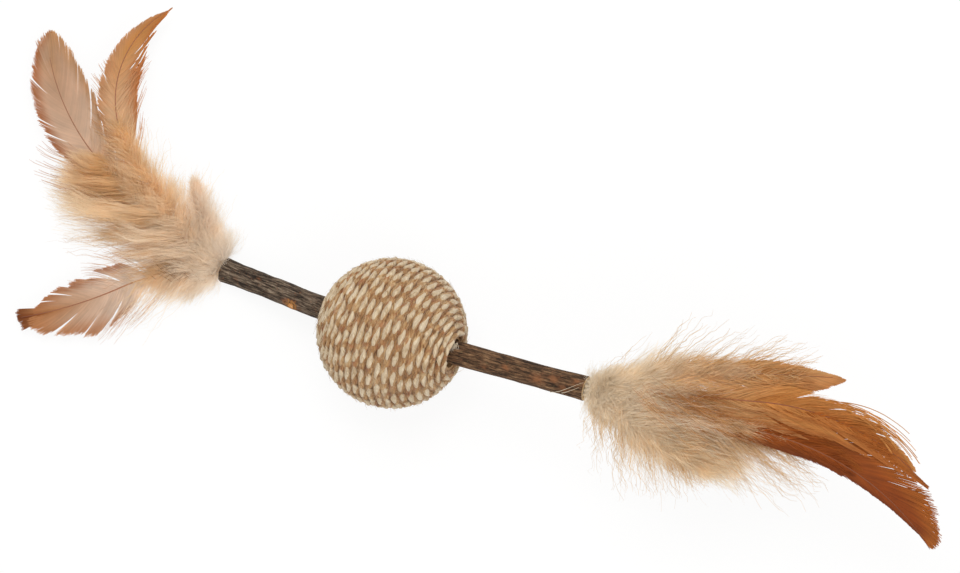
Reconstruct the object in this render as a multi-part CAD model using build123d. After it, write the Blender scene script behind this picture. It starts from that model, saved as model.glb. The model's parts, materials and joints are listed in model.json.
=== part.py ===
from build123d import *
from collections import namedtuple
import math
import os

# A stick toy for cats: a crooked barked twig with a twine-wound ball at mid length and a plume of
# feathers glued into each drilled end. It lies on the floor on its ball and on its left end.
# Millimetres, +Z up. The origin is the point of the floor under the middle of the ball, and +X runs
# along the floor under the ball's bore, towards the raised right plume.

# Ball and twine
ball_diameter = 40.0
bore_gap = 0.9            # glue-filled room round the stick in the ball's bore
twine_diameter = 1.6
turn_gap = 0.45           # clear space between two turns, before they share out what is left
rim_gap = 0.2             # from the edge of the bore to the first turn
end_draw = 0.4            # how far the two ends of the twine are drawn in towards the bore
rest_depth = 0.5          # how far the lowest turns are pressed flat on the floor
seat_gap = 0.02           # clearance between pieces that fit closely

# Twig
stick_diameter = 6.2
left_stick_length = 51.3  # from the middle of the ball to each cut end
right_stick_length = 55.6
stick_bend = 5.9          # degrees, sideways, inside the ball
bend_reach = 15.0         # the bend runs this far to each side of its corner
stick_bow = 0.65          # offset of that corner from the bore's axis
floor_gap = 0.05          # from the lowest point of the left end to the floor
socket_wall = 0.7
socket_depth = 10.0

# Glue
ball_glue_depth = 5.0     # how far the glue fills the bore from each mouth
ball_glue_height = 0.9    # the collar of glue that stands out of the bore
collar_step = 0.35        # how much narrower the collar is than the bore at its foot
collar_edge = 0.3         # thickness of the collar at its top
plug_recess = 0.4         # from the mouth of a socket down to its glue

# Quills, the glued-in roots of the feathers
quill_diameter = 0.8
quill_depth = 8.0
quill_reach = 1.4         # how far a quill stands out of the socket
quill_margin = 0.2        # least glue between a quill and the wall of the socket
bend_gap = 0.3            # from a quill, and from its feather, to the middle of the shaft's flexible bend
seat_shares = (1.0, 1 / 3, -1 / 3, -1.0)  # places of the four quills across a socket

# Feathers: length along the shaft, reach of the barbs on the left and right of the shaft, and height
# and depth of the down above and below it
tall_length = 81.0
tall_left = 12.0
tall_right = 6.6
tall_height = 6.5
tall_depth = 2.6

curved_length = 83.0
curved_left = 4.6
curved_right = 9.0
curved_height = 6.0
curved_depth = 2.6

low_length = 57.0
low_left = 8.5
low_right = 5.2
low_height = 4.5
low_depth = 2.0

small_length = 28.0
small_left = 2.1
small_right = 6.0
small_height = 4.5
small_depth = 2.0

short_length = 66.5
short_left = 9.0
short_right = 3.8
short_height = 5.0
short_depth = 4.4

middle_length = 97.0
middle_left = 3.8
middle_right = 3.6
middle_height = 3.6
middle_depth = 3.2

long_length = 104.0
long_left = 3.8
long_right = 6.8
long_height = 3.2
long_depth = 3.6

down_length = 56.0
down_left = 4.6
down_right = 10.0
down_height = 4.6
down_depth = 4.4

# Thickness of every feather at its shaft and at its edges, above or below the middle
shaft_ridge = 0.5
edge_half = 0.12

# Shapes along a feather, as shares of its length, its reach and its height
station_shares = (0.0, 0.05, 0.12, 0.22, 0.34, 0.46, 0.58, 0.70, 0.82, 0.92, 1.0)
open_side_shares = (0.0, 0.05, 0.25, 0.68, 1.0, 1.0, 0.82, 0.68, 0.60, 0.40, 0.0)
inner_side_shares = (0.0, 0.02, 0.06, 0.12, 0.22, 0.42, 0.75, 1.0, 0.95, 0.65, 0.0)
late_side_shares = (0.0, 0.02, 0.05, 0.10, 0.28, 0.92, 1.0, 0.74, 0.58, 0.40, 0.0)
low_side_shares = (0.0, 0.06, 0.30, 0.55, 0.65, 0.75, 0.90, 1.0, 0.85, 0.55, 0.0)
strip_side_shares = (0.0, 0.02, 0.08, 0.20, 0.34, 0.50, 0.72, 0.92, 1.0, 0.72, 0.0)
down_side_shares = (0.0, 0.06, 0.28, 0.62, 0.88, 1.0, 0.98, 0.88, 0.68, 0.42, 0.0)
vane_height_shares = (0.0, 0.08, 0.36, 0.80, 1.0, 0.78, 0.36, 0.10, 0.02, 0.0, 0.0)
slim_height_shares = (0.0, 0.03, 0.10, 0.24, 0.48, 0.70, 0.44, 0.14, 0.03, 0.0, 0.0)
down_height_shares = (0.0, 0.08, 0.34, 0.70, 0.95, 1.0, 0.90, 0.72, 0.48, 0.24, 0.0)
shoulder_share = 0.5      # where the down's rounded back meets its sloping flank, across and up
flank_share = 0.72
middle_share = 0.45       # place along a feather of its middle heading and pitch
steps_between_stations = 12

# Feather: side of the stick, seat in the socket, sizes, then degrees: headings and pitches at the
# root, the middle and the tip, and the roll of the vane about its shaft
Feather = namedtuple(
    "Feather",
    "name side seat length left right height depth headings pitches roll left_shares right_shares height_shares",
)
feathers = (
    Feather("left_down", "left", 0, small_length, small_left, small_right, small_height, small_depth,
            (136, 124, 112), (6, 12, 6), 0, down_side_shares, down_side_shares, down_height_shares),
    Feather("left_curved", "left", 1, curved_length, curved_left, curved_right, curved_height, curved_depth,
            (152, 141, 46), (8, 2, -1), 0, inner_side_shares, late_side_shares, vane_height_shares),
    Feather("left_tall", "left", 2, tall_length, tall_left, tall_right, tall_height, tall_depth,
            (157, 155, 112), (8, 0, -2), 0, open_side_shares, inner_side_shares, vane_height_shares),
    Feather("left_low", "left", 3, low_length, low_left, low_right, low_height, low_depth,
            (190, 222, 206), (8, 0, -3), 0, low_side_shares, strip_side_shares, vane_height_shares),
    Feather("right_short", "right", 0, short_length, short_left, short_right, short_height, short_depth,
            (29, 18, 13), (19, 6, -10), 0, open_side_shares, inner_side_shares, vane_height_shares),
    Feather("right_middle", "right", 1, middle_length, middle_left, middle_right, middle_height, middle_depth,
            (14, 13, -34), (19, 4, -14), 0, strip_side_shares, strip_side_shares, slim_height_shares),
    Feather("right_long", "right", 2, long_length, long_left, long_right, long_height, long_depth,
            (6, 4, -42), (19, 2, -16), 0, strip_side_shares, strip_side_shares, slim_height_shares),
    Feather("right_down", "right", 3, down_length, down_left, down_right, down_height, down_depth,
            (-13, -13, -15), (19, 0, -14), 0, down_side_shares, down_side_shares, down_height_shares),
)

# Derived sizes
ball_radius = ball_diameter / 2
stick_radius = stick_diameter / 2
bore_radius = stick_radius + bore_gap
core_radius = ball_radius - twine_diameter - seat_gap
bore_mouth = math.sqrt(core_radius**2 - bore_radius**2)
ball_height = ball_radius - rest_depth
half_bend = stick_bend / 2
socket_radius = stick_radius - socket_wall
quill_radius = quill_diameter / 2
quill_row = socket_radius - quill_margin - quill_radius

# The stick leans until the lower edge of its left end meets the floor
left_run = left_stick_length * math.cos(math.radians(half_bend))
left_slant = math.hypot(left_run, stick_radius)
stick_tilt = math.degrees(
    math.asin((ball_height - floor_gap) / left_slant) - math.atan2(stick_radius, left_run)
)
lean = Location((0, 0, ball_height), (0, -stick_tilt, 0))


def stick_rod(diameter):
    # The crooked line of the twig along X, in the bore's own frame, swept with a circle
    bend = math.radians(half_bend)
    corner = Vector(0, -stick_bow, 0)
    left_end = corner + Vector(-math.cos(bend), math.sin(bend), 0) * left_stick_length
    right_end = corner + Vector(math.cos(bend), math.sin(bend), 0) * right_stick_length
    line = FilletPolyline(left_end, corner, right_end, radius=bend_reach / math.tan(bend))
    section = Plane(origin=line @ 0, z_dir=line % 0) * Circle(diameter / 2)
    return sweep(section, path=line), line


def mouth_planes(line):
    # A plane on each cut end: Z points out of the stick and X lies level, towards +Y
    left = Plane(origin=line @ 0, x_dir=(0, 1, 0), z_dir=-(line % 0))
    right = Plane(origin=line @ 1, x_dir=(0, 1, 0), z_dir=line % 1)
    return {"left": left, "right": right}


def peg(plane, across, radius, low, high):
    # A round peg along a mouth plane's Z, from low to high
    return plane * Pos(across, 0, (low + high) / 2) * Cylinder(radius, high - low)


def tangent_arcs(start, start_way, end, end_way):
    # Two arcs that join a point and direction to the next, alike in their tangent lengths
    span = end - start
    ways = start_way + end_way
    turn = 1 - start_way.dot(end_way)
    along = span.dot(ways)
    reach = (-along + math.sqrt(along**2 + 2 * turn * span.dot(span))) / (2 * turn)
    joint = (start + end + (start_way - end_way) * reach) * 0.5
    joint_way = (end - end_way * reach - start - start_way * reach).normalized()
    return [Edge.make_tangent_arc(start, start_way, joint), Edge.make_tangent_arc(joint, joint_way, end)]


def twine_path():
    # A spiral over the ball from the right mouth of the bore to the left one, spaced evenly, with one
    # turn laid over the lowest point of the ball
    radius = ball_radius - twine_diameter / 2
    first = math.asin((bore_radius + rim_gap + twine_diameter / 2) / radius)
    spread = math.pi - 2 * first
    turns = int(spread * radius / (twine_diameter + turn_gap))
    lowest = math.pi / 2 + math.radians(stick_tilt)
    start_turn = -math.pi / 2 - 2 * math.pi * turns * (lowest - first) / spread

    def place(share):
        polar = first + spread * share
        if share in (0, 1):
            polar += end_draw / radius * (-1 if share == 0 else 1)
        around = start_turn + 2 * math.pi * turns * share
        ring = math.sin(polar) * radius
        return Vector(math.cos(polar) * radius, ring * math.cos(around), ring * math.sin(around))

    def way(share):
        polar = first + spread * share
        around = start_turn + 2 * math.pi * turns * share
        across = Vector(0, -math.sin(around), math.cos(around)) * (2 * math.pi * turns * math.sin(polar))
        inward = Vector(-math.sin(polar), math.cos(polar) * math.cos(around), math.cos(polar) * math.sin(around))
        return (across + inward * spread).normalized()

    quarters = 4 * turns
    points = [place(k / quarters) for k in range(quarters + 1)]
    ways = [way(k / quarters) for k in range(quarters + 1)]
    head = points[0] - ways[0] * twine_diameter
    tail = points[-1] + ways[-1] * twine_diameter
    edges = [Edge.make_line(head, points[0])]
    for k in range(quarters):
        edges += tangent_arcs(points[k], ways[k], points[k + 1], ways[k + 1])
    edges.append(Edge.make_line(points[-1], tail))
    return edges, turns


def least_gap(edges, turns):
    # The least clear space between two turns, from points a few degrees apart along the twine
    samples_per_arc = 10
    points = [edge @ (k / samples_per_arc) for edge in edges for k in range(samples_per_arc)]
    half_turn = len(points) // turns // 2
    nearest = ball_diameter
    for k, point in enumerate(points):
        for other in points[k + half_turn:k + 3 * half_turn]:
            nearest = min(nearest, (other - point).length)
    return nearest - twine_diameter


def wind_twine():
    edges, turns = twine_path()
    path = Wire(edges)
    section = Plane(origin=path @ 0, z_dir=path % 0) * Circle(twine_diameter / 2)
    tube = sweep(section, path=path)
    drawn = math.pi * (twine_diameter / 2) ** 2 * path.length
    print(f"twine: {turns} turns, {path.length:.0f} mm, least gap {least_gap(edges, turns):.3f} mm, "
          f"volume {tube.volume:.1f} of {drawn:.1f} mm3")
    below = Pos(0, 0, -ball_radius) * Box(ball_diameter, ball_diameter, ball_diameter)
    return lean * tube - below


def make_core():
    return lean * (Sphere(core_radius) - Rot(0, 90, 0) * Cylinder(bore_radius, ball_diameter))


def make_ball_glue(end):
    # A ring of glue in the mouth of the bore, with a low collar round the stick
    mouth = Plane(origin=(end * bore_mouth, 0, 0), z_dir=(end, 0, 0))
    ring = mouth * Pos(0, 0, -ball_glue_depth / 2) * Cylinder(bore_radius - seat_gap, ball_glue_depth)
    collar = mouth * Pos(0, 0, ball_glue_height / 2) * Cone(
        bore_radius - collar_step, stick_radius + collar_edge, ball_glue_height
    )
    clear_stick, _ = stick_rod(stick_diameter + 2 * seat_gap)
    return lean * ((ring + collar) - clear_stick)


def along(values, share):
    # A value at the root, the middle and the tip of a feather, evenly between
    root, middle, tip = values
    if share < middle_share:
        return root + (middle - root) * share / middle_share
    return middle + (tip - middle) * (share - middle_share) / (1 - middle_share)


def shaft_way(feather, share):
    heading = math.radians(along(feather.headings, share))
    pitch = math.radians(along(feather.pitches, share))
    flat = math.cos(pitch)
    return Vector(flat * math.cos(heading), flat * math.sin(heading), math.sin(pitch))


def shaft_planes(feather, root):
    # A plane across the shaft at each station: X to the left of the shaft, Y up, Z along it
    planes = []
    place = root
    for k, share in enumerate(station_shares):
        if k:
            step = (share - station_shares[k - 1]) / steps_between_stations
            for n in range(steps_between_stations):
                middle = station_shares[k - 1] + (n + 0.5) * step
                place = place + shaft_way(feather, middle) * (step * feather.length)
        heading = math.radians(along(feather.headings, share))
        level = Vector(-math.sin(heading), math.cos(heading), 0)
        flat = Plane(origin=place, x_dir=level, z_dir=shaft_way(feather, share))
        planes.append(flat.rotated((0, 0, feather.roll)))
    return planes


def feather_section(left, right, height, depth):
    # Left edge, back of the shaft or down, right edge and belly, as lines and shallow arcs
    left_shoulder = max(quill_radius * shoulder_share, left * shoulder_share * height / (height + left))
    right_shoulder = max(quill_radius * shoulder_share, right * shoulder_share * height / (height + right))
    back = height * flank_share
    belly = depth * flank_share
    edges = [
        Line((left, edge_half), (left_shoulder, back)),
        ThreePointArc((left_shoulder, back), (0, height), (-right_shoulder, back)),
        Line((-right_shoulder, back), (-right, edge_half)),
        Line((-right, edge_half), (-right, -edge_half)),
        Line((-right, -edge_half), (-right_shoulder, -belly)),
        ThreePointArc((-right_shoulder, -belly), (0, -depth), (left_shoulder, -belly)),
        Line((left_shoulder, -belly), (left, -edge_half)),
        Line((left, -edge_half), (left, edge_half)),
    ]
    return make_face(edges)


def make_feather(feather, root):
    sections = []
    rows = zip(shaft_planes(feather, root), feather.left_shares, feather.right_shares, feather.height_shares)
    for plane, left_share, right_share, height_share in rows:
        section = feather_section(
            quill_radius + feather.left * left_share,
            quill_radius + feather.right * right_share,
            shaft_ridge + feather.height * height_share,
            shaft_ridge + feather.depth * height_share,
        )
        sections.append(plane * section)
    return loft(sections)


pieces = {}
hinges = {}

stick, stick_line = stick_rod(stick_diameter)
mouths = mouth_planes(stick_line)
for side, mouth in mouths.items():
    stick -= peg(mouth, 0, socket_radius, -socket_depth, stick_radius)
pieces["stick"] = lean * stick
pieces["ball_core"] = make_core()
pieces["twine_winding"] = wind_twine()
pieces["left_ball_glue"] = make_ball_glue(-1)
pieces["right_ball_glue"] = make_ball_glue(1)

for side, mouth in mouths.items():
    plug = peg(mouth, 0, socket_radius - seat_gap, -socket_depth + seat_gap, -plug_recess)
    for feather in feathers:
        if feather.side == side:
            across = quill_row * seat_shares[feather.seat]
            plug -= peg(mouth, across, quill_radius + seat_gap, -quill_depth - seat_gap, quill_reach)
            pieces[feather.name + "_quill"] = lean * peg(mouth, across, quill_radius, -quill_depth, quill_reach)
            pivot = (lean * Pos(mouth.from_local_coords((across, 0, quill_reach + bend_gap)))).position
            way = shaft_way(feather, 0)
            hinges[feather.name + "_feather"] = (pivot, Vector(way.Y, -way.X, 0).normalized())
            pieces[feather.name + "_feather"] = make_feather(feather, pivot + way * bend_gap)
    pieces[side + "_socket_glue"] = lean * plug

os.makedirs("parts", exist_ok=True)
for name, piece in pieces.items():
    export_step(piece, f"parts/{name}.step")
    print(f"{name}: {piece.volume:.1f} mm3")
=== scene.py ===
import bpy
import json
import math
import numpy as np
from mathutils import Matrix, Vector, noise


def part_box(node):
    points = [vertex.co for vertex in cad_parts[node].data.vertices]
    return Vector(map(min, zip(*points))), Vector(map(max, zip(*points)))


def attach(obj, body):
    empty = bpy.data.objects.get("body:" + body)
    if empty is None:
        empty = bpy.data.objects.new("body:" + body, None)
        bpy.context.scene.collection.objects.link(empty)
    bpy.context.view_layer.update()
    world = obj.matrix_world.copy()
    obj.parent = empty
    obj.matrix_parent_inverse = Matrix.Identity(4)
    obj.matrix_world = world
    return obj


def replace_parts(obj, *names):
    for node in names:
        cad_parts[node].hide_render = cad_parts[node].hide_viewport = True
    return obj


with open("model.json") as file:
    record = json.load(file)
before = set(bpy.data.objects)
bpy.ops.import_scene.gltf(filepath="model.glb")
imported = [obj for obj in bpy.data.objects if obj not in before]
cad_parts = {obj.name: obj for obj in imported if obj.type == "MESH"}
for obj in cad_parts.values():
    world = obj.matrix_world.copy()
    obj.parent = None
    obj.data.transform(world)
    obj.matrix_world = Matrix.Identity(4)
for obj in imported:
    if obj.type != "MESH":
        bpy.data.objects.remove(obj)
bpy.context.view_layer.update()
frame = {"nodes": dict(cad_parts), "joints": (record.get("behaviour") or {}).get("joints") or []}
mm = 0.001

ballLow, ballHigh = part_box("ball_core")
ballCentre = (ballLow + ballHigh) / 2
stickBody = "stick_and_ball"


def hexColour(code):
    # sRGB hex to the linear values that the shaders take
    parts = [int(code[k:k + 2], 16) / 255 for k in (1, 3, 5)]
    return (*[p / 12.92 if p <= 0.04045 else ((p + 0.055) / 1.055) ** 2.4 for p in parts], 1.0)


def setStops(colourRamp, stops):
    # places and colours of a colour ramp
    while len(colourRamp.elements) < len(stops):
        colourRamp.elements.new(1.0)
    for element, (place, code) in zip(colourRamp.elements, stops):
        element.position = place
        element.color = hexColour(code)


def addNode(tree, made, name, kind, settings, inputs):
    # one node with its settings; an input written "@node.Output" is a link to a node made earlier
    node = tree.nodes.new(kind)
    for key, value in settings.items():
        if key == "stops":
            setStops(node.color_ramp, value)
        else:
            setattr(node, key, value)
    for key, value in inputs.items():
        if isinstance(key, int):
            socket = node.inputs[key]
        else:
            socket = [s for s in node.inputs if s.name == key and s.enabled][0]
        if isinstance(value, str) and value.startswith("@"):
            source, _, output = value[1:].partition(".")
            found = [s for s in made[source].outputs if s.enabled and output in ("", s.name)]
            tree.links.new(found[0], socket)
        else:
            socket.default_value = value
    made[name] = node


def buildNodes(tree, made, steps):
    for name, (kind, settings, inputs) in steps.items():
        addNode(tree, made, name, kind, settings, inputs)


# Steps for the nodes that are used most: kind, settings and inputs
def maths(operation, *values, clamp=False):
    return "ShaderNodeMath", {"operation": operation, "use_clamp": clamp}, dict(enumerate(values))


def plus(first, second):
    return maths("ADD", first, second)


def minus(first, second):
    return maths("SUBTRACT", first, second)


def times(first, second):
    return maths("MULTIPLY", first, second)


def timesPlus(first, second, third):
    return maths("MULTIPLY_ADD", first, second, third)


def vectorMaths(operation, first, second):
    return "ShaderNodeVectorMath", {"operation": operation}, {0: first, 1: second}


def scaled(vector, scale):
    return "ShaderNodeVectorMath", {"operation": "SCALE"}, {0: vector, "Scale": scale}


def rotated(vector, axis, angle):
    inputs = {"Vector": vector, "Axis": axis, "Angle": angle}
    return "ShaderNodeVectorRotate", {"rotation_type": "AXIS_ANGLE"}, inputs


def split(vector):
    return "ShaderNodeSeparateXYZ", {}, {"Vector": vector}


def joined(**parts):
    return "ShaderNodeCombineXYZ", {}, parts


def mapped(value, old=(0.0, 1.0), new=(0.0, 1.0), smooth=False):
    kind = "SMOOTHSTEP" if smooth else "LINEAR"
    ends = {"From Min": old[0], "From Max": old[1], "To Min": new[0], "To Max": new[1]}
    return "ShaderNodeMapRange", {"interpolation_type": kind}, {"Value": value, **ends}


def blended(kind, factor, first, second):
    return "ShaderNodeMix", {"data_type": kind}, {"Factor": factor, "A": first, "B": second}


def ramp(value, stops):
    return "ShaderNodeValToRGB", {"stops": stops}, {"Fac": value}


def attribute(name):
    return "ShaderNodeAttribute", {"attribute_name": name}, {}


def stored(geometry, name, value, kind="FLOAT_VECTOR"):
    inputs = {"Geometry": geometry, "Name": name, "Value": value}
    return "GeometryNodeStoreNamedAttribute", {"data_type": kind, "domain": "POINT"}, inputs


def randomVector(number, seed):
    inputs = {"Min": (-1, -1, -1), "Max": (1, 1, 1), "ID": number, "Seed": seed}
    return "FunctionNodeRandomValue", {"data_type": "FLOAT_VECTOR"}, inputs


def cloudy(place, scale, detail=2.0, roughness=0.5):
    inputs = {"Vector": place, "Scale": scale, "Detail": detail, "Roughness": roughness}
    return "ShaderNodeTexNoise", {}, inputs


def lineNoise(place, scale, detail):
    return "ShaderNodeTexNoise", {"noise_dimensions": "1D"}, {"W": place, "Scale": scale, "Detail": detail}


def newMaterial(name, steps):
    # the step called surface is the shader that the surface shows
    material = bpy.data.materials.new(name)
    material.use_nodes = True
    material.node_tree.nodes.clear()
    output = ("ShaderNodeOutputMaterial", {}, {"Surface": "@surface"})
    buildNodes(material.node_tree, {}, {**steps, "output": output})
    return material


def newTree(name, sockets, steps):
    # a Geometry Nodes tree with named inputs; the step called shape is what it gives, smooth and finished
    tree = bpy.data.node_groups.new(name, "GeometryNodeTree")
    tree.interface.new_socket("Geometry", in_out="OUTPUT", socket_type="NodeSocketGeometry")
    for label, kind in {"Geometry": "Geometry", **sockets, "Material": "Material"}.items():
        tree.interface.new_socket(label, in_out="INPUT", socket_type="NodeSocket" + kind)
    made = {"in": tree.nodes.new("NodeGroupInput")}
    buildNodes(tree, made, {
        **steps,
        "smooth": ("GeometryNodeSetShadeSmooth", {}, {"Geometry": "@shape"}),
        "whole": ("GeometryNodeRealizeInstances", {}, {"Geometry": "@smooth"}),
        "result": ("GeometryNodeSetMaterial", {}, {"Geometry": "@whole", "Material": "@in.Material"}),
        "output": ("NodeGroupOutput", {}, {0: "@result"}),
    })
    return tree


def addPiece(name, data):
    piece = bpy.data.objects.new(name, data)
    bpy.context.scene.collection.objects.link(piece)
    return piece


def growPiece(name, points, tree, values):
    # runs a tree on a line of points and keeps the outcome as a plain mesh
    mesh = bpy.data.meshes.new(name)
    edges = [(k, k + 1) for k in range(len(points) - 1)]
    mesh.from_pydata([tuple(p) for p in points], edges, [])
    piece = addPiece(name, mesh)
    modifier = piece.modifiers.new("grow", "NODES")
    modifier.node_group = tree
    for item in tree.interface.items_tree:
        if item.in_out == "INPUT" and item.name in values:
            modifier[item.identifier] = values[item.name]
    depsgraph = bpy.context.evaluated_depsgraph_get()
    evaluated = piece.evaluated_get(depsgraph)
    grown = bpy.data.meshes.new_from_object(evaluated, preserve_all_data_layers=True, depsgraph=depsgraph)
    piece.modifiers.clear()
    piece.data = grown
    grown.name = name
    return piece


# Camera: straight down on the toy where it lies, turned so that the twig falls to the right
cameraSet = {
    "turn": math.radians(17.95),
    "height": 0.9,                     # metres above the middle of the ball
    "picture": (960, 573),             # pixels
    "ballPixel": (392.1, 333.1),
    "pixelSize": 40 * mm / 151.3,      # the ball is 40 mm and 151.3 pixels across
    "sensor": 36.0,
}


def makeCamera(spec):
    right = Vector((math.cos(spec["turn"]), math.sin(spec["turn"]), 0))
    up = Vector((-math.sin(spec["turn"]), math.cos(spec["turn"]), 0))
    wide, tall = spec["picture"]
    across = wide / 2 - spec["ballPixel"][0]
    above = spec["ballPixel"][1] - tall / 2
    data = bpy.data.cameras.new("camera")
    data.sensor_width = spec["sensor"]
    data.lens = spec["sensor"] * spec["height"] / (wide * spec["pixelSize"])
    camera = addPiece("camera", data)
    shift = (right * across + up * above) * spec["pixelSize"]
    camera.location = ballCentre + shift + Vector((0, 0, spec["height"]))
    camera.rotation_euler = (0, 0, spec["turn"])
    bpy.context.scene.camera = camera


makeCamera(cameraSet)
print("camera set")

# Floor and light: matt white paper, a broad lamp from the top left of the picture and a pale sky
stageSet = {
    "floorSide": 6.0,
    "floorColour": "#F4F3F1",
    "floorGlow": 0.88,                 # share of plain white that the camera sees in the floor
    "skyStrength": 0.78,
    "lamps": [
        # name, place, side, watts
        ("keyLamp", (-0.2, 0.4, 0.95), 0.5, 4.7),
        ("fillLamp", (0.55, -0.35, 0.75), 0.6, 1.6),
    ],
}

# light rays that see the stage: from the camera, from mirrors and through clear things
seenSteps = {
    "path": ("ShaderNodeLightPath", {}, {}),
    "seen": plus("@path.Is Camera Ray", "@path.Is Glossy Ray"),
    "seenAll": maths("ADD", "@seen", "@path.Is Transmission Ray", clamp=True),
}


def makeStage(spec):
    half = spec["floorSide"] / 2
    mesh = bpy.data.meshes.new("floor")
    corners = [(-half, -half, 0), (half, -half, 0), (half, half, 0), (-half, half, 0)]
    mesh.from_pydata(corners, [], [(0, 1, 2, 3)])
    floor = addPiece("floor", mesh)
    # matt paper: scatters evenly; the camera and mirror rays see part of it as plain white
    mesh.materials.append(newMaterial("Matt white paper", {
        **seenSteps,
        "share": times("@seenAll", spec["floorGlow"]),
        "paper": ("ShaderNodeBsdfDiffuse", {}, {"Color": hexColour(spec["floorColour"])}),
        "white": ("ShaderNodeEmission", {}, {"Strength": 1.0}),
        "surface": ("ShaderNodeMixShader", {}, {0: "@share", 1: "@paper", 2: "@white"}),
    }))
    world = bpy.data.worlds.new("paleSky")
    world.use_nodes = True
    world.node_tree.nodes.clear()
    buildNodes(world.node_tree, {}, {
        **seenSteps,
        "strength": mapped("@seenAll", new=(spec["skyStrength"], 1.0)),
        "sky": ("ShaderNodeBackground", {}, {"Color": (1, 1, 1, 1), "Strength": "@strength"}),
        "output": ("ShaderNodeOutputWorld", {}, {"Surface": "@sky"}),
    })
    bpy.context.scene.world = world
    for name, place, side, watts in spec["lamps"]:
        data = bpy.data.lights.new(name, "AREA")
        data.size = side
        data.energy = watts
        lamp = addPiece(name, data)
        lamp.location = place
        lamp.rotation_euler = (ballCentre - Vector(place)).to_track_quat("-Z", "Y").to_euler()
    bpy.context.scene.view_settings.view_transform = "Standard"


makeStage(stageSet)
print("floor and lamps set")

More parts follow.
